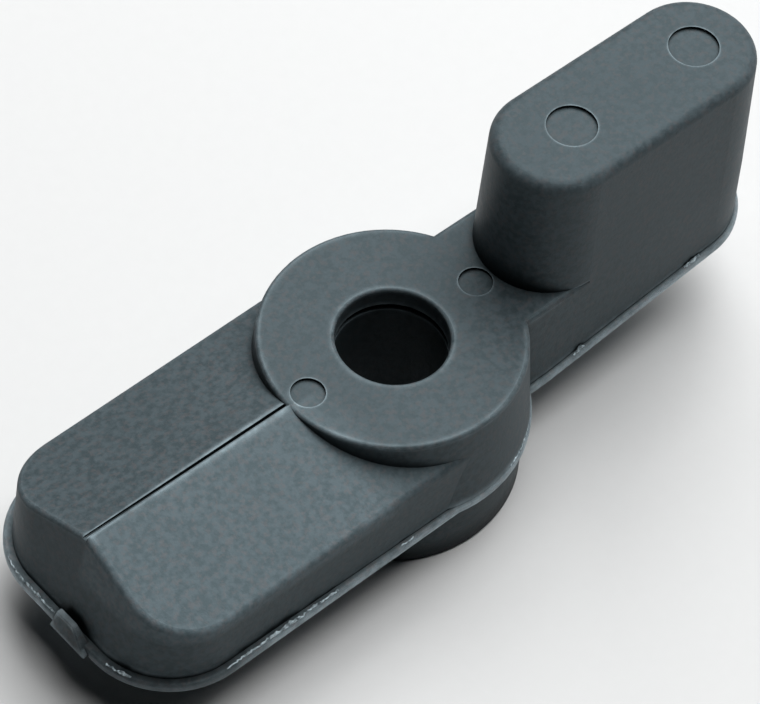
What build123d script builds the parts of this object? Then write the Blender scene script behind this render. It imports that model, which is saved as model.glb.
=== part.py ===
from build123d import *
import os

# Turn-latch lever: a long lever that turns on a round pedestal bolted down through its bore.
# Millimetres.  The origin is the middle of the pedestal's seat, on the bolt's axis.
# +Z goes up the bolt, +X towards the upright finger lug, the wedge-topped paddle lies along -X.

# ---- driving dimensions ----
BORE_RADIUS = 5.25            # clearance for an M10 bolt
PEDESTAL_RADIUS = 12.85
PEDESTAL_TOP = 6.4
PLATE_BOTTOM = 6.7
PLATE_THICKNESS = 0.8
HUB_TOP = 17.2
HUB_TOP_RADIUS = 12.35
HUB_FOOT_RADIUS = 13.2
HUB_EDGE_ROUND = 0.35
LUG_TOP = 31.85

PADDLE_END_TOP = -35.2        # the end wall leans out on its way down
PADDLE_END_FOOT = -37.4
PADDLE_HALF_TOP = 12.55
PADDLE_HALF_FOOT = 12.65
PADDLE_CORNER_TOP = 5.2
PADDLE_CORNER_FOOT = 7.8
# each half of the paddle's top: its start below the ridge and its edge below the ridge,
# first at the hub and then at the paddle's end
NEAR_HALF = ((0.0, 3.1), (0.0, 3.5))
FAR_HALF = ((0.1, 3.6), (0.0, 4.3))
NEAR_EDGE_ROUND = 0.7
FAR_EDGE_ROUND = 0.45
GROOVE_START = 0.15
GROOVE_WIDTH = 0.35
GROOVE_DEPTH = (1.2, 0.35)    # at the hub's axis and at the paddle's end

ARM_HALF_TOP = 6.4
ARM_HALF_FOOT = 6.5
ARM_FLARE = 0.7               # the arm's foot is this much wider each side at the hub
ARM_EDGE_ROUND = 0.4
BORE_EDGE_ROUND = 0.3
ARM_TIP_CENTRE = 34.8         # centre of the arm's round end
ARM_RISE_START = 13.5         # the arm's underside climbs from here to its tip
ARM_RISE = 2.8
LUG_ROOT_CENTRE = 18.2        # centre of the lug's round end next to the hub
LUG_HALF_TOP = 6.0
LUG_EDGE_ROUND = 1.1

PADDLE_LIP = 0.9              # the base plate stands out this far past the walls above it
PLATE_HALF_AT_HUB = 13.1
PLATE_EDGE_ROUND = 0.3
HUB_LIP = 0.2
ARM_LIP = 0.4
GATE_FOOT = (1.4, 5.0)        # moulding gate left on the plate's end, along X and Y
GATE_TOP = (0.6, 2.2)
GATE_HEIGHT = 2.0
GATE_SHEAR = 1.1              # the gate broke off at a slant, its top this far towards +Y
GATE_Y = -2.0

POCKET_WALL = 2.4
POCKET_ROOF = 12.0
POCKET_RIB = 1.8
POCKET_HUB_END = -14.5
POCKET_CROSS_RIB = -24.5
LUG_CORE = (19.5, 29.5)       # end centres of the core pocket under the lug
LUG_CORE_HALF = 3.4
LUG_CORE_TOP = 29.0

PIN_MARK_DEPTH = 0.3
HUB_MARK_OFFSET = 10.0
HUB_MARK_RADIUS = 1.6
LUG_MARKS = (20.0, 35.0)
LUG_MARK_RADIUS = 2.35

SPIGOT_RADIUS = 7.6
SPIGOT_TOP = 14.3
RUNNING_FIT = 0.06
SLEEVE_WALL = 1.3
SLEEVE_TOP = 11.2
COLLAR_WALL = 1.2
HUB_CAVITY_TOP = 15.1
RING_GROOVE_DEPTH = 0.6
RING_THICKNESS = 0.9
RING_BOTTOM = 11.7
RING_OUTER_RADIUS = 8.7
TOP_WASHER_THICKNESS = 0.7
TOP_WASHER_INNER = 6.3
TOP_WASHER_OUTER = 8.8
FLOOR_WASHER_THICKNESS = 0.9
FLOOR_WASHER_INNER = 8.6
FLOOR_WASHER_OUTER = 11.6

SCREW_RADIUS = 1.25
SCREW_HEAD_RADIUS = 2.4
SCREW_HEAD_HEIGHT = 1.2
SCREW_LENGTH = 6.5
SCREW_STATIONS = (-31.0, -18.0, 37.0)
SCREW_BOSS_RADIUS = 2.8
SCREW_PLAY = 0.03

# ---- derived sizes ----
BODY_BOTTOM = PLATE_BOTTOM + PLATE_THICKNESS
TIP_X = ARM_TIP_CENTRE + ARM_HALF_FOOT + ARM_LIP
RISE_SLOPE = ARM_RISE / (TIP_X - ARM_RISE_START)
PLATE_END = PADDLE_END_FOOT - PADDLE_LIP
SLEEVE_INNER = SPIGOT_RADIUS + RUNNING_FIT
SLEEVE_OUTER = SLEEVE_INNER + SLEEVE_WALL
COLLAR_OUTER = SLEEVE_OUTER + COLLAR_WALL
HUB_CAVITY_RADIUS = COLLAR_OUTER + 0.1


def disc(radius, bottom, top):
    """Upright cylinder on the bolt's axis."""
    return Pos(0, 0, bottom) * extrude(Circle(radius), top - bottom)


def ring(inner, outer, bottom, top):
    """Upright ring on the bolt's axis."""
    return disc(outer, bottom, top) - disc(inner, bottom - 1, top + 1)


def paddle_plan(end_x, hub_half, end_half, corner, z):
    """Outline of the paddle at one height: straight at the hub, two round corners at its end."""
    sides = make_face(Polyline(
        (0, -hub_half), (0, hub_half), (end_x, end_half), (end_x, -end_half), close=True,
    ))
    return Pos(0, 0, z) * fillet(sides.vertices().group_by(Axis.X)[0], corner)


def arm_plan(half_width, flare, z):
    """Outline of the arm at one height, wider by flare at the hub and round at its tip."""
    root = half_width + flare
    sides = make_face(Polyline(
        (0, -root), (ARM_TIP_CENTRE, -half_width), (ARM_TIP_CENTRE, half_width), (0, root), close=True,
    ))
    return Pos(0, 0, z) * (sides + Pos(ARM_TIP_CENTRE, 0) * Circle(half_width))


def obround_plan(first_x, last_x, half_width, z):
    """Outline with a round end at both ends."""
    outline = SlotCenterToCenter(last_x - first_x, 2 * half_width)
    return Pos((first_x + last_x) / 2, 0, z) * outline


def underside_slab(bottom, thickness):
    """Slab under the whole lever: level under paddle and hub, climbing under the arm."""
    run = 2 * TIP_X
    lower = [(-run, bottom), (ARM_RISE_START, bottom), (run, bottom + RISE_SLOPE * (run - ARM_RISE_START))]
    upper = [(x, z + thickness) for x, z in reversed(lower)]
    return extrude(Plane.XZ * make_face(Polyline(*lower, *upper, close=True)), HUB_FOOT_RADIUS * 2, both=True)


def underside_plane(x):
    """Plane of the plate's lower face at a station along the lever, its normal into the lever."""
    if x < ARM_RISE_START:
        return Plane(origin=(x, 0, PLATE_BOTTOM))
    height = PLATE_BOTTOM + RISE_SLOPE * (x - ARM_RISE_START)
    return Plane(origin=(x, 0, height), x_dir=(1, 0, RISE_SLOPE), z_dir=(-RISE_SLOPE, 0, 1))


def gable_section(x, side, start, edge):
    """Cross-section, at one station, of what is cut away above one half of the paddle."""
    reach = 2 * side
    points = [
        (0, HUB_TOP - start), (reach * PADDLE_HALF_TOP, HUB_TOP - 2 * edge + start),
        (reach * PADDLE_HALF_TOP, LUG_TOP), (0, LUG_TOP),
    ]
    station = Plane(origin=(x, 0, 0), x_dir=(0, 1, 0), z_dir=(1, 0, 0))
    return station * make_face(Polyline(*points, close=True))


def gable_cut(side, half):
    """What is cut away above one half of the paddle's sloping top, side -1 or +1 of the ridge."""
    at_hub, at_end = half
    beyond = [2 * end - hub for hub, end in zip(at_hub, at_end)]
    return loft([gable_section(2 * PADDLE_END_TOP, side, *beyond), gable_section(0, side, *at_hub)])


def is_rim(edge):
    """True for the edges between a paddle half's sloping top and its outer walls."""
    box = edge.bounding_box()
    outside = max(abs(box.min.Y), abs(box.max.Y)) > 0.1 and box.min.X < -0.1
    return outside and box.min.Z > POCKET_ROOF and box.size.Z < HUB_TOP - POCKET_ROOF


def paddle_half(side, half, edge_round):
    """Half of the paddle on one side of the ridge, sloping top and rounded rim, not yet hollowed."""
    foot = paddle_plan(PADDLE_END_FOOT, PADDLE_HALF_FOOT, PADDLE_HALF_FOOT, PADDLE_CORNER_FOOT, BODY_BOTTOM)
    top = paddle_plan(PADDLE_END_TOP, PADDLE_HALF_TOP, PADDLE_HALF_TOP, PADDLE_CORNER_TOP, HUB_TOP)
    one_side = Pos(PADDLE_END_FOOT, side * LUG_TOP, 0) * Box(-2 * PADDLE_END_FOOT, 2 * LUG_TOP, 2 * LUG_TOP)
    block = (loft([foot, top]) & one_side) - gable_cut(side, half)
    return fillet([edge for edge in block.edges() if is_rim(edge)], edge_round)


def ridge_groove():
    """Narrow groove along the far side of the ridge, deepest at the hub."""
    sections = []
    for x, depth in ((0, GROOVE_DEPTH[0]), (PADDLE_END_TOP, GROOVE_DEPTH[1])):
        station = Plane(origin=(x, 0, HUB_TOP - depth), x_dir=(0, 1, 0), z_dir=(1, 0, 0))
        floor = [(GROOVE_START, 0), (GROOVE_START + GROOVE_WIDTH, 0)]
        mouth = [(GROOVE_START + 2 * GROOVE_WIDTH, HUB_TOP), (GROOVE_START - 0.1, HUB_TOP)]
        sections.append(station * make_face(Polyline(*floor, *mouth, close=True)))
    return loft(sections)


def hub_cone():
    """Hub, a little wider at its foot."""
    height = HUB_TOP - BODY_BOTTOM
    align = (Align.CENTER, Align.CENTER, Align.MIN)
    cone = Pos(0, 0, BODY_BOTTOM) * Cone(HUB_FOOT_RADIUS, HUB_TOP_RADIUS, height, align=align)
    return fillet(cone.edges().group_by(Axis.Z)[-1], HUB_EDGE_ROUND)


def arm_block():
    """Arm level with the hub's top, its upper edges rounded only as far as the lug."""
    foot = arm_plan(ARM_HALF_FOOT, ARM_FLARE, PLATE_BOTTOM)
    top = arm_plan(ARM_HALF_TOP, 0, HUB_TOP)
    block = loft([foot, top])
    sides = [edge for edge in block.edges().group_by(Axis.Z)[-1] if edge.length > ARM_TIP_CENTRE - 1]
    align = (Align.MIN, Align.CENTER, Align.MIN)
    under_lug = block & Pos(LUG_ROOT_CENTRE, 0, 0) * Box(LUG_TOP, LUG_TOP, LUG_TOP, align=align)
    return fillet(sides, ARM_EDGE_ROUND) + under_lug


def lug_block():
    """Upright finger lug with draft on its walls and a rounded top edge."""
    foot = obround_plan(LUG_ROOT_CENTRE, ARM_TIP_CENTRE, ARM_HALF_TOP, HUB_TOP)
    top = obround_plan(LUG_ROOT_CENTRE, ARM_TIP_CENTRE, LUG_HALF_TOP, LUG_TOP)
    block = loft([foot, top])
    return fillet(block.edges().group_by(Axis.Z)[-1], LUG_EDGE_ROUND)


def pin_marks():
    """Shallow round ejector-pin marks on the hub and on the lug."""
    marks = [(x, HUB_MARK_RADIUS, HUB_TOP) for x in (-HUB_MARK_OFFSET, HUB_MARK_OFFSET)]
    marks += [(x, LUG_MARK_RADIUS, LUG_TOP) for x in LUG_MARKS]
    return [
        Pos(x, 0, top - PIN_MARK_DEPTH) * extrude(Circle(radius), 1)
        for x, radius, top in marks
    ]


def screw_blank(x, play, length):
    """Countersunk screw body at a station, head flush with the plate, grown by play."""
    profile = Polyline(
        (0, 0), (SCREW_HEAD_RADIUS + play, 0),
        (SCREW_RADIUS + play, SCREW_HEAD_HEIGHT), (SCREW_RADIUS + play, length - SCREW_RADIUS),
        (0, length), close=True,
    )
    blank = revolve(Plane.XZ * make_face(profile), Axis.Z)
    return underside_plane(x) * blank


def paddle_pockets():
    """Core pockets under the paddle, with ribs and screw bosses left between them."""
    reach = PADDLE_HALF_FOOT - POCKET_WALL
    spans = [
        (PADDLE_END_TOP + POCKET_WALL, POCKET_CROSS_RIB - POCKET_RIB / 2),
        (POCKET_CROSS_RIB + POCKET_RIB / 2, POCKET_HUB_END),
    ]
    pockets = []
    for first, last in spans:
        for side in (-1, 1):
            middle = ((first + last) / 2, side * (reach + POCKET_RIB / 2) / 2)
            plan = Pos(*middle) * RectangleRounded(last - first, reach - POCKET_RIB / 2, 1.2)
            pocket = Pos(0, 0, BODY_BOTTOM - 1) * extrude(plan, POCKET_ROOF - BODY_BOTTOM + 1)
            for x in SCREW_STATIONS[:2]:
                pocket -= Pos(x, 0, 0) * extrude(Circle(SCREW_BOSS_RADIUS), LUG_TOP)
            pockets.append(pocket)
    return pockets


def is_bore_rim(edge):
    """True for the circle where the bore meets the hub's top."""
    box = edge.bounding_box()
    return box.min.Z > HUB_TOP - 0.01 and abs(box.size.X - 2 * BORE_RADIUS) < 0.01


def make_lever_body():
    near = paddle_half(-1, NEAR_HALF, NEAR_EDGE_ROUND)
    far = paddle_half(1, FAR_HALF, FAR_EDGE_ROUND) - ridge_groove()
    body = near + far + hub_cone() + arm_block() + lug_block()
    body -= underside_slab(PLATE_BOTTOM - 20, 20 + PLATE_THICKNESS)
    body -= disc(HUB_CAVITY_RADIUS, 0, HUB_CAVITY_TOP)
    body -= disc(BORE_RADIUS, 0, LUG_TOP)
    body = fillet(body.edges().filter_by(is_bore_rim), BORE_EDGE_ROUND)
    body -= pin_marks()
    body -= paddle_pockets()
    core = obround_plan(*LUG_CORE, LUG_CORE_HALF, 0)
    body -= extrude(core, LUG_CORE_TOP)
    body -= [screw_blank(x, SCREW_PLAY, SCREW_LENGTH + 0.5) for x in SCREW_STATIONS]
    return body


def is_upper_edge(edge):
    """True for an outer edge of the plate's upper face, and not for the bend across it."""
    start, middle, end = edge @ 0, edge @ 0.5, edge @ 1
    rise = max(0, RISE_SLOPE * (middle.X - ARM_RISE_START))
    across = max(abs(start.X - ARM_RISE_START), abs(end.X - ARM_RISE_START)) < 0.01
    return abs(middle.Z - BODY_BOTTOM - rise) < 0.05 and not across


def plate_area(outline):
    """One area of the plate, its upper outer edge rounded."""
    area = extrude(outline, HUB_TOP) & underside_slab(PLATE_BOTTOM, PLATE_THICKNESS)
    return fillet(area.edges().filter_by(is_upper_edge), PLATE_EDGE_ROUND)


def gate_stub():
    """Moulding gate on the plate's end, broken off at a slant."""
    foot = Rectangle(*GATE_FOOT)
    top = Pos(0.2, GATE_SHEAR, GATE_HEIGHT) * Rectangle(*GATE_TOP)
    return Pos(PLATE_END + 0.1, GATE_Y, PLATE_BOTTOM) * fillet(loft([foot, top]).edges(), 0.15)


def make_base_plate():
    end_half = PADDLE_HALF_FOOT + PADDLE_LIP
    paddle = paddle_plan(PLATE_END, PLATE_HALF_AT_HUB, end_half, PADDLE_CORNER_FOOT + PADDLE_LIP, 0)
    hub = Circle(HUB_FOOT_RADIUS + HUB_LIP)
    arm = arm_plan(ARM_HALF_FOOT + ARM_LIP, ARM_FLARE, 0)
    plate = plate_area(paddle) + plate_area(hub) + plate_area(arm)
    plate += gate_stub()
    plate += ring(SLEEVE_OUTER, COLLAR_OUTER, PLATE_BOTTOM + 0.3, SLEEVE_TOP)
    plate -= disc(SLEEVE_OUTER, PLATE_BOTTOM + 0.3, SLEEVE_TOP)
    plate -= disc(SLEEVE_INNER + 0.4, 0, SLEEVE_TOP)
    plate -= [screw_blank(x, SCREW_PLAY, SCREW_LENGTH) for x in SCREW_STATIONS]
    return plate


def make_pivot_base():
    base = disc(PEDESTAL_RADIUS, 0, PEDESTAL_TOP)
    base = chamfer(base.edges().group_by(Axis.Z)[-1], 0.3)
    base = chamfer(base.edges().group_by(Axis.Z)[0], 0.3)
    spigot = disc(SPIGOT_RADIUS, PEDESTAL_TOP - 1, SPIGOT_TOP)
    base += chamfer(spigot.edges().group_by(Axis.Z)[-1], 0.4)
    base -= disc(BORE_RADIUS, -1, LUG_TOP)
    base -= ring(FLOOR_WASHER_INNER - 0.15, FLOOR_WASHER_OUTER + 0.15, washer_floor(), HUB_TOP)
    base -= ring(
        SPIGOT_RADIUS - RING_GROOVE_DEPTH, SPIGOT_RADIUS + 1,
        RING_BOTTOM - 0.05, RING_BOTTOM + RING_THICKNESS + 0.05,
    )
    return base


def washer_floor():
    """Height of the recess that the friction washer lies in."""
    return PLATE_BOTTOM - RUNNING_FIT - FLOOR_WASHER_THICKNESS


def make_friction_washer():
    return ring(FLOOR_WASHER_INNER, FLOOR_WASHER_OUTER, washer_floor(), PLATE_BOTTOM - RUNNING_FIT)


def make_bearing_sleeve():
    return ring(SLEEVE_INNER, SLEEVE_OUTER, PLATE_BOTTOM + 0.3, SLEEVE_TOP)


def make_retaining_ring():
    """Open snap ring in the spigot's groove, which keeps the lever from lifting off."""
    inner = SPIGOT_RADIUS - RING_GROOVE_DEPTH + 0.02
    whole = ring(inner, RING_OUTER_RADIUS, RING_BOTTOM, RING_BOTTOM + RING_THICKNESS)
    opening = Pos(0, RING_OUTER_RADIUS, RING_BOTTOM) * Box(6, RING_OUTER_RADIUS, 4)
    return whole - opening


def make_top_washer():
    return ring(TOP_WASHER_INNER, TOP_WASHER_OUTER, SPIGOT_TOP, SPIGOT_TOP + TOP_WASHER_THICKNESS)


def make_plate_screws():
    """Countersunk screws that hold the plate, each with a cross recess."""
    screws = []
    for x in SCREW_STATIONS:
        screw = screw_blank(x, 0, SCREW_LENGTH)
        arms = [Box(length, width, 1.6) for length, width in ((2.6, 0.6), (0.6, 2.6))]
        screw -= [underside_plane(x) * arm for arm in arms]
        screws.append(screw)
    return Compound(children=screws)


NODES = {
    "lever_body": make_lever_body,
    "base_plate": make_base_plate,
    "plate_screws": make_plate_screws,
    "bearing_sleeve": make_bearing_sleeve,
    "pivot_base": make_pivot_base,
    "friction_washer": make_friction_washer,
    "retaining_ring": make_retaining_ring,
    "thrust_washer": make_top_washer,
}

os.makedirs("parts", exist_ok=True)
for name, make in NODES.items():
    export_step(make(), f"parts/{name}.step")
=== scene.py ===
"""Turn-latch lever of dark moulded nylon on its round pedestal, in metres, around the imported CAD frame."""

import math
import random

import bpy
from mathutils import Matrix, Vector
from mathutils.bvhtree import BVHTree


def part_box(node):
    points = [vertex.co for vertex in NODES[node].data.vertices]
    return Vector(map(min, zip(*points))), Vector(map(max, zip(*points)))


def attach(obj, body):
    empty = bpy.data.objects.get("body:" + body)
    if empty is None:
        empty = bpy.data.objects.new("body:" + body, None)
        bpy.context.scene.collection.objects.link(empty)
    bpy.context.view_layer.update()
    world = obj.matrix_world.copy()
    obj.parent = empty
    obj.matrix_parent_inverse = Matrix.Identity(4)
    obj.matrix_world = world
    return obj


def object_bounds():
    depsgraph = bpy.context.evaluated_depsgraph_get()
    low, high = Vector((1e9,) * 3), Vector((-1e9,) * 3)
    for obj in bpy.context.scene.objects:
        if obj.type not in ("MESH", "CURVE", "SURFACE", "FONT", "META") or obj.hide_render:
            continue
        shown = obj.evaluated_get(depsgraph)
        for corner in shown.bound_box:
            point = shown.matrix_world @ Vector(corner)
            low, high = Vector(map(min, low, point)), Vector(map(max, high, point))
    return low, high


MM = 0.001

# camera, as azimuth and elevation of the side it stands on
CAMERA_AZIMUTH = -45.83
CAMERA_ELEVATION = 53.05
CAMERA_ROLL = 5.87
CAMERA_DISTANCE = 410.95 * MM
CAMERA_LENS = 217.86
CAMERA_SENSOR = 36
CAMERA_CLIP = 0.01
CAMERA_TARGET = Vector((-2.04, -0.60, 17.2)) * MM

# soft boxes aimed at the object: azimuth, elevation, edge in metres, power in watts
LIGHTS = {
    "key": (138, 52, 0.5, 5.4),
    "side": (85, 48, 0.5, 3.6),
    "top": (90, 80, 0.6, 5.0),
}
LIGHT_DISTANCE = 0.85
LIGHT_TARGET = Vector((0, 0, 0.01))
LIGHT_COLOUR = (0.99, 1.0, 1.0)
AMBIENT = 0.0

# the floor's half width, in diagonals of the object's box
FLOOR_REACH = 40

# painted light on the paddle's near slope, painted lighter as if more light fell on it: the stretch of each
# axis over which this painted light fades in
SLOPE_X = (-8 * MM, -12 * MM)
SLOPE_Y = (0.1 * MM, -0.4 * MM)
SLOPE_Z = (12.2 * MM, 13.0 * MM)
SLOPE_LIGHT_GAIN = 1.55

# darker tone around the plate's near corner under the paddle
DARK_PATCH_CENTRE = Vector((-37, -10, 7.5)) * MM
DARK_PATCH_REACH = 13 * MM
DARK_PATCH_SHARE = 0.65

# ragged flash on the plate's edge: where each run starts and ends, in millimetres,
# along X on the near and far sides, and along Y on the paddle's end
FLASH_NEAR = ((-30.0, -17.0), (-9.5, -8.0), (4.0, 8.6), (16.8, 18.2), (31.0, 33.0))
FLASH_FAR = ((-27.0, -22.0), (9.0, 11.0))
FLASH_END = ((-8.6, -6.2), (0.8, 8.0))
FLASH_PITCH = 0.22 * MM
FLASH_HEIGHT = 0.45 * MM
FLASH_LEAST_HEIGHT = 0.05 * MM
FLASH_ROOT = 0.1 * MM
FLASH_LEAN = 0.1 * MM
FLASH_THICKNESS = 0.16 * MM
FLASH_INSET = 0.2 * MM
# each station keeps this share of the last one's height and draws the rest from this range of heights
FLASH_KEPT = 0.6
FLASH_SWING = (-0.6, 1.9)
# thickness at the top, as a share of the thickness at the foot
FLASH_THINNING = 0.6
FLASH_SEED = 7
LIP_SEARCH_STEPS = 150
DOWN = Vector((0, 0, -1))

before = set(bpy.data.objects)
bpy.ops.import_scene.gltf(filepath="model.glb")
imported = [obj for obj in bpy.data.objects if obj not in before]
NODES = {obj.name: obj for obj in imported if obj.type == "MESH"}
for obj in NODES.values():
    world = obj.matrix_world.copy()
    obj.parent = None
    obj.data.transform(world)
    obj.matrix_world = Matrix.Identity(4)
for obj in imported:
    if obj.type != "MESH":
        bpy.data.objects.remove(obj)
CAD_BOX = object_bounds()


# ---------------------------------------------------------------- node helpers


class Shader:
    """A new material with short calls for the nodes that these surfaces use."""

    def __init__(self, name):
        self.material = bpy.data.materials.new(name)
        self.material.use_nodes = True
        self.tree = self.material.node_tree
        self.surface = self.tree.nodes["Principled BSDF"]
        self.place = self.node("ShaderNodeTexCoord").outputs["Object"]

    def node(self, kind, **values):
        """A new node with its own properties set."""
        made = self.tree.nodes.new(kind)
        for key, value in values.items():
            setattr(made, key, value)
        return made

    def feed(self, socket, value):
        """Links or sets one input."""
        if isinstance(value, bpy.types.NodeSocket):
            self.tree.links.new(value, socket)
        else:
            socket.default_value = value

    def noise(self, size, detail, roughness, stretch=(1, 1, 1)):
        """Noise from 0 to 1 whose features are about size metres across."""
        place = self.node("ShaderNodeMapping")
        self.feed(place.inputs["Vector"], self.place)
        place.inputs["Scale"].default_value = stretch
        made = self.node("ShaderNodeTexNoise")
        self.feed(made.inputs["Vector"], place.outputs[0])
        made.inputs["Scale"].default_value = 1 / size
        made.inputs["Detail"].default_value = detail
        made.inputs["Roughness"].default_value = roughness
        return made.outputs["Fac"]

    def spread(self, value, low, high, to_low=0.0, to_high=1.0):
        """Value from low to high, spread over to_low to to_high and held there."""
        made = self.node("ShaderNodeMapRange")
        self.feed(made.inputs["Value"], value)
        made.inputs["From Min"].default_value = low
        made.inputs["From Max"].default_value = high
        made.inputs["To Min"].default_value = to_low
        made.inputs["To Max"].default_value = to_high
        return made.outputs["Result"]

    def math(self, operation, first, second=0.0):
        """Result of an operation on two numbers, or on the first alone where it takes one."""
        made = self.node("ShaderNodeMath", operation=operation)
        self.feed(made.inputs[0], first)
        self.feed(made.inputs[1], second)
        return made.outputs[0]

    def mix(self, share, first, second):
        """Colour mix from first to second by share."""
        made = self.node("ShaderNodeMix", data_type="RGBA")
        self.feed(made.inputs["Factor"], share)
        for socket, colour in ((made.inputs["A"], first), (made.inputs["B"], second)):
            self.feed(socket, colour if isinstance(colour, bpy.types.NodeSocket) else (*colour, 1))
        return made.outputs["Result"]

    def closeness(self, reach, inside):
        """1 deep in corners, or with inside on outward edges, fading to 0 about reach away."""
        made = self.node("ShaderNodeAmbientOcclusion", samples=8, inside=inside, only_local=inside)
        made.inputs["Distance"].default_value = reach
        return self.math("SUBTRACT", 1.0, made.outputs["AO"])

    def steepness(self):
        """1 on upright walls, 0 on level faces."""
        facing = self.node("ShaderNodeSeparateXYZ")
        self.feed(facing.inputs[0], self.node("ShaderNodeNewGeometry").outputs["True Normal"])
        return self.spread(self.math("ABSOLUTE", facing.outputs["Z"]), 0.8, 0.3)

    def bump(self, height, depth, strength, under=None):
        """Normal of a height up to depth metres, on top of the normal given as under."""
        made = self.node("ShaderNodeBump")
        self.feed(made.inputs["Height"], height)
        made.inputs["Distance"].default_value = depth
        made.inputs["Strength"].default_value = strength
        if under is not None:
            self.feed(made.inputs["Normal"], under)
        return made.outputs["Normal"]

    def cover(self, colour, roughness, normal):
        """Links or sets the three inputs that every surface here has of its own."""
        self.feed(self.surface.inputs["Base Color"], colour)
        self.feed(self.surface.inputs["Roughness"], roughness)
        self.feed(self.surface.inputs["Normal"], normal)

    def scale_colour(self, gain):
        """Multiplies the colour that already feeds the surface by gain."""
        socket = self.surface.inputs["Base Color"]
        made = self.node("ShaderNodeVectorMath", operation="SCALE")
        self.feed(made.inputs[0], socket.links[0].from_socket)
        self.feed(made.inputs["Scale"], gain)
        self.feed(socket, made.outputs[0])


# ---------------------------------------------------------------- materials


def mottle(shader, cloud, dark, light):
    """Colour between dark and light in small clouds, with ruddy specks and a slow drift towards dark."""
    drift = shader.noise(12 * MM, 2, 0.5)
    colour = shader.mix(shader.spread(cloud, 0.38, 0.62), dark, light)
    ruddy = shader.spread(shader.noise(0.55 * MM, 2, 0.6), 0.5, 0.66, 0.0, 0.45)
    colour = shader.mix(ruddy, colour, (light[0] * 1.4, light[1] * 0.97, light[2] * 0.88))
    return shader.mix(shader.spread(drift, 0.35, 0.7, 0.0, 0.25), colour, dark)


def wear_and_light_edges(shader, colour, worn_and_lit, wear_and_light, rim):
    """Colour with patches of a paler tone along outward edges, about rim wide and of the given strength:
    pale edge wear that is also a painted highlight along the edges.
    """
    patchy = shader.spread(shader.noise(1.6 * MM, 4, 0.65), 0.35, 0.6, 0.4, 1.0)
    edge = shader.spread(shader.closeness(rim, True), 0.24, 0.46)
    # painted edge highlight, patchy like wear
    rubbed_and_lit = shader.math("MULTIPLY", edge, patchy)
    return shader.mix(shader.math("MULTIPLY", rubbed_and_lit, wear_and_light), colour, worn_and_lit)


def paint_corner_shade(shader, colour, dark):
    """Colour with painted shade: nearly black in tight corners and, on walls, wherever something stands
    close.
    """
    # painted shade, near black in tight corners
    corner = shader.spread(shader.closeness(1.1 * MM, False), 0.15, 0.6, 0.0, 0.8)
    colour = shader.mix(corner, colour, tuple(part * 0.15 for part in dark))
    # painted shade on walls wherever something stands close
    crowded_shade = shader.spread(shader.closeness(4.5 * MM, False), 0.12, 0.34, 0.0, 0.92)
    deep = shader.math("MULTIPLY", crowded_shade, shader.steepness())
    return shader.mix(deep, colour, tuple(part * 0.1 for part in dark))


def moulded_nylon(name, dark, light, worn_and_lit, wear_and_light, rim):
    """Shader of moulded nylon with a fine grain, mottled tone, paler edges that are partly painted
    highlight, and painted shade in its corners.
    """
    shader = Shader(name)
    grain = shader.noise(0.3 * MM, 3, 0.6)
    cloud = shader.noise(0.7 * MM, 2, 0.55)
    colour = mottle(shader, cloud, dark, light)
    colour = wear_and_light_edges(shader, colour, worn_and_lit, wear_and_light, rim)
    colour = paint_corner_shade(shader, colour, dark)
    roughness = shader.spread(cloud, 0.3, 0.7, 0.45, 0.6)
    coarse = shader.bump(cloud, 0.04 * MM, 0.3)
    shader.cover(colour, roughness, shader.bump(grain, 0.03 * MM, 0.8, coarse))
    shader.surface.inputs["Specular IOR Level"].default_value = 0.17
    shader.surface.inputs["Specular Tint"].default_value = (0.72, 0.93, 1.0, 1)
    return shader


def paint_slope_light(shader):
    """Painted light: a lighter tone over the paddle's near slope, as if more light fell on it."""
    place = shader.node("ShaderNodeSeparateXYZ")
    shader.feed(place.inputs[0], shader.place)
    near = shader.spread(place.outputs["Y"], *SLOPE_Y)
    along = shader.spread(place.outputs["X"], *SLOPE_X)
    high = shader.spread(place.outputs["Z"], *SLOPE_Z, 0.0, SLOPE_LIGHT_GAIN - 1)
    lit_patch = shader.math("MULTIPLY", shader.math("MULTIPLY", near, along), high)
    shader.scale_colour(shader.math("ADD", lit_patch, 1.0))


def darken_plate_corner(shader):
    """Darkens the surface around one corner of the plate, fading out at its reach."""
    away = shader.node("ShaderNodeVectorMath", operation="DISTANCE")
    shader.feed(away.inputs[0], shader.place)
    away.inputs[1].default_value = DARK_PATCH_CENTRE
    distance = away.outputs["Value"]
    shader.scale_colour(shader.spread(distance, 0.6 * DARK_PATCH_REACH, DARK_PATCH_REACH, 1 - DARK_PATCH_SHARE, 1.0))


def acetal(name):
    """Natural white acetal with faint turning rings and a waxy surface."""
    shader = Shader(name)
    rings = shader.noise(0.5 * MM, 2, 0.5, (1, 1, 6))
    colour = shader.mix(shader.spread(rings, 0.35, 0.65), (0.66, 0.64, 0.58), (0.78, 0.77, 0.72))
    shader.cover(colour, shader.spread(rings, 0.3, 0.7, 0.28, 0.42), shader.bump(rings, 0.02 * MM, 0.5))
    shader.surface.inputs["Subsurface Weight"].default_value = 0.15
    shader.surface.inputs["Subsurface Radius"].default_value = (0.002, 0.0018, 0.0015)
    return shader.material


def brushed_stainless(name):
    """Stainless steel with fine drawn lines and a few dull patches."""
    shader = Shader(name)
    lines = shader.noise(0.25 * MM, 3, 0.6, (1, 8, 1))
    patches = shader.noise(3 * MM, 2, 0.5)
    colour = shader.mix(shader.spread(patches, 0.35, 0.7), (0.50, 0.50, 0.49), (0.64, 0.64, 0.63))
    shader.cover(colour, shader.spread(lines, 0.3, 0.7, 0.24, 0.4), shader.bump(lines, 0.01 * MM, 0.6))
    shader.surface.inputs["Metallic"].default_value = 1.0
    return shader.material


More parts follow.
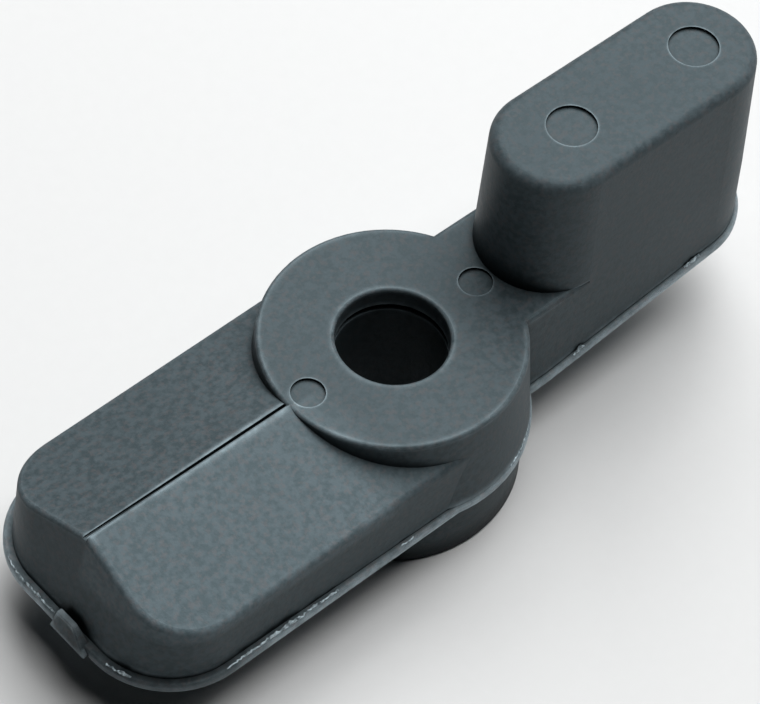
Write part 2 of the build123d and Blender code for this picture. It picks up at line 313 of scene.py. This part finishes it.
def torn_nylon(name):
    """Stress-whitened nylon of thin torn flash, from grey to nearly white."""
    shader = Shader(name)
    tear = shader.noise(0.5 * MM, 3, 0.6)
    colour = shader.mix(shader.spread(tear, 0.4, 0.6), (0.12, 0.16, 0.18), (0.62, 0.74, 0.8))
    shader.cover(colour, 0.55, shader.bump(tear, 0.05 * MM, 0.8))
    return shader.material


def pale_floor(name):
    """Matt off-white studio floor with a barely visible tooth."""
    shader = Shader(name)
    tooth = shader.noise(1.5 * MM, 3, 0.6)
    colour = shader.mix(tooth, (0.60, 0.60, 0.60), (0.62, 0.62, 0.62))
    shader.cover(colour, 0.9, shader.bump(tooth, 0.02 * MM, 0.2))
    return shader.material


def finish_node(name, material):
    """Gives a CAD node one material."""
    node = NODES[name]
    node.data.materials.clear()
    node.data.materials.append(material)


# ---------------------------------------------------------------- flash on the plate's edge


def lip_station(tree, outside, inward):
    """Point on the plate's upper face just inside its edge, found by stepping inward from outside."""
    for step in range(LIP_SEARCH_STEPS):
        above = outside + inward * (step * FLASH_INSET / 2)
        if tree.ray_cast(above, DOWN)[0]:
            return tree.ray_cast(above + inward * FLASH_INSET, DOWN)[0]
    raise ValueError("no plate below this run of flash")


def flash_run(tree, chance, outside, along, inward, length):
    """Corners and faces of one ragged fin on the lip, with two foot and two top corners a station."""
    steps = round(length / FLASH_PITCH)
    half = inward * FLASH_THICKNESS / 2
    corners = []
    height = 0.0
    for step in range(steps + 1):
        foot = lip_station(tree, outside + along * (length * step / steps), inward)
        drawn = FLASH_HEIGHT * chance.uniform(*FLASH_SWING)
        height = FLASH_KEPT * height + (1 - FLASH_KEPT) * drawn
        taper = math.sin(math.pi * (step + 0.5) / (steps + 1)) ** 0.5
        lean = inward * chance.uniform(-FLASH_LEAN, FLASH_LEAN)
        top = foot + lean - DOWN * max(FLASH_LEAST_HEIGHT, height * taper)
        sunk = foot + DOWN * FLASH_ROOT
        corners += [sunk - half, sunk + half, top + half * FLASH_THINNING, top - half * FLASH_THINNING]
    faces = [(0, 1, 2, 3), tuple(4 * steps + corner for corner in (3, 2, 1, 0))]
    for first in range(0, 4 * steps, 4):
        for side in range(4):
            here, beside = first + side, first + (side + 1) % 4
            faces.append((here, here + 4, beside + 4, beside))
    return corners, faces


def flash_places():
    """Start, direction, inward direction and length of every run."""
    (low_x, low_y, _), (_, high_y, top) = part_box("base_plate")
    along_x, along_y = Vector((1, 0, 0)), Vector((0, 1, 0))
    places = []
    for runs, y, inward in ((FLASH_NEAR, low_y, along_y), (FLASH_FAR, high_y, -along_y)):
        for start, end in runs:
            places.append((Vector((start * MM, y, top)), along_x, inward, (end - start) * MM))
    for start, end in FLASH_END:
        places.append((Vector((low_x, start * MM, top)), along_y, along_x, (end - start) * MM))
    return places


def make_flash():
    """All the fins as one piece on the lever."""
    plate = NODES["base_plate"].data
    plate_corners = [vertex.co for vertex in plate.vertices]
    tree = BVHTree.FromPolygons(plate_corners, [face.vertices for face in plate.polygons])
    chance = random.Random(FLASH_SEED)
    corners, faces = [], []
    for outside, along, inward, length in flash_places():
        run_corners, run_faces = flash_run(tree, chance, outside, along, inward, length)
        faces += [tuple(index + len(corners) for index in face) for face in run_faces]
        corners += run_corners
    mesh = bpy.data.meshes.new("edge_flash")
    mesh.from_pydata(corners, [], faces)
    mesh.materials.append(torn_nylon("torn_nylon"))
    piece = bpy.data.objects.new("edge_flash", mesh)
    bpy.context.scene.collection.objects.link(piece)
    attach(piece, "lever")


# ---------------------------------------------------------------- stage


def aim(obj, target, roll=0.0):
    """Turns an object so that its -Z axis points at target, then rolls it about that axis."""
    look = (target - obj.location).to_track_quat("-Z", "Y").to_matrix().to_4x4()
    obj.matrix_world = Matrix.Translation(obj.location) @ look @ Matrix.Rotation(math.radians(roll), 4, "Z")


def side_vector(azimuth, elevation):
    """Unit vector towards a viewer at that azimuth and elevation."""
    turn, lift = math.radians(azimuth), math.radians(elevation)
    return Vector((math.sin(turn) * math.cos(lift), -math.cos(turn) * math.cos(lift), math.sin(lift)))


def make_camera():
    """Long lens from above the paddle's near corner."""
    data = bpy.data.cameras.new("camera")
    data.lens = CAMERA_LENS
    data.sensor_width = CAMERA_SENSOR
    data.clip_start = CAMERA_CLIP
    camera = bpy.data.objects.new("camera", data)
    camera.location = CAMERA_TARGET + CAMERA_DISTANCE * side_vector(CAMERA_AZIMUTH, CAMERA_ELEVATION)
    bpy.context.scene.collection.objects.link(camera)
    aim(camera, CAMERA_TARGET, CAMERA_ROLL)
    bpy.context.scene.camera = camera


def make_light(name, azimuth, elevation, size, power):
    """Square soft box aimed at the object from that side."""
    data = bpy.data.lights.new(name, "AREA")
    data.size = size
    data.energy = power
    data.color = LIGHT_COLOUR
    light = bpy.data.objects.new(name, data)
    light.location = side_vector(azimuth, elevation) * LIGHT_DISTANCE
    bpy.context.scene.collection.objects.link(light)
    aim(light, LIGHT_TARGET)


def make_floor():
    """Square floor at the bottom of the CAD box."""
    low, high = CAD_BOX
    reach = FLOOR_REACH * (high - low).length
    mesh = bpy.data.meshes.new("floor")
    corners = [(x * reach, y * reach, low.z) for x, y in ((-1, -1), (1, -1), (1, 1), (-1, 1))]
    mesh.from_pydata(corners, [], [(0, 1, 2, 3)])
    mesh.materials.append(pale_floor("floor_paper"))
    floor = bpy.data.objects.new("floor", mesh)
    bpy.context.scene.collection.objects.link(floor)


def make_world():
    """Even white surroundings as bright as AMBIENT."""
    world = bpy.data.worlds.new("studio")
    world.use_nodes = True
    background = world.node_tree.nodes["Background"]
    background.inputs["Color"].default_value = (1, 1, 1, 1)
    background.inputs["Strength"].default_value = AMBIENT
    bpy.context.scene.world = world


# ---------------------------------------------------------------- the object

# each nylon's pale edge tone below is edge wear and also a painted highlight along its edges
body_nylon = moulded_nylon(
    "body_nylon",
    dark=(0.037, 0.050, 0.056),
    light=(0.060, 0.077, 0.086),
    worn_and_lit=(0.24, 0.30, 0.33),
    wear_and_light=0.8,
    rim=1.5 * MM,
)
# painted light on the paddle's near slope
paint_slope_light(body_nylon)
# the plate's nylon is the body's nylon painted about two and a half times as light, painted light for the
# lip that the body's wall shades; its near-white edge tone is a painted highlight
plate_nylon_painted_light = moulded_nylon(
    "plate_nylon_painted_light",
    dark=(0.100, 0.125, 0.137),
    light=(0.165, 0.200, 0.218),
    worn_and_lit=(0.55, 0.66, 0.72),
    wear_and_light=0.95,
    rim=0.75 * MM,
)
# darker tone around the plate's near corner under the paddle
darken_plate_corner(plate_nylon_painted_light)
pedestal_nylon = moulded_nylon(
    "pedestal_nylon",
    dark=(0.024, 0.034, 0.038),
    light=(0.044, 0.057, 0.064),
    worn_and_lit=(0.12, 0.15, 0.17),
    wear_and_light=0.5,
    rim=1.0 * MM,
)
white_acetal = acetal("white_acetal")
stainless = brushed_stainless("stainless")

finish_node("lever_body", body_nylon.material)
finish_node("base_plate", plate_nylon_painted_light.material)
finish_node("pivot_base", pedestal_nylon.material)
for bearing in ("bearing_sleeve", "friction_washer", "thrust_washer"):
    finish_node(bearing, white_acetal)
for fastener in ("plate_screws", "retaining_ring"):
    finish_node(fastener, stainless)

make_flash()

make_camera()
make_floor()
make_world()
for name, (azimuth, elevation, size, power) in LIGHTS.items():
    make_light(name, azimuth, elevation, size, power)
bpy.context.scene.view_settings.view_transform = "Standard"
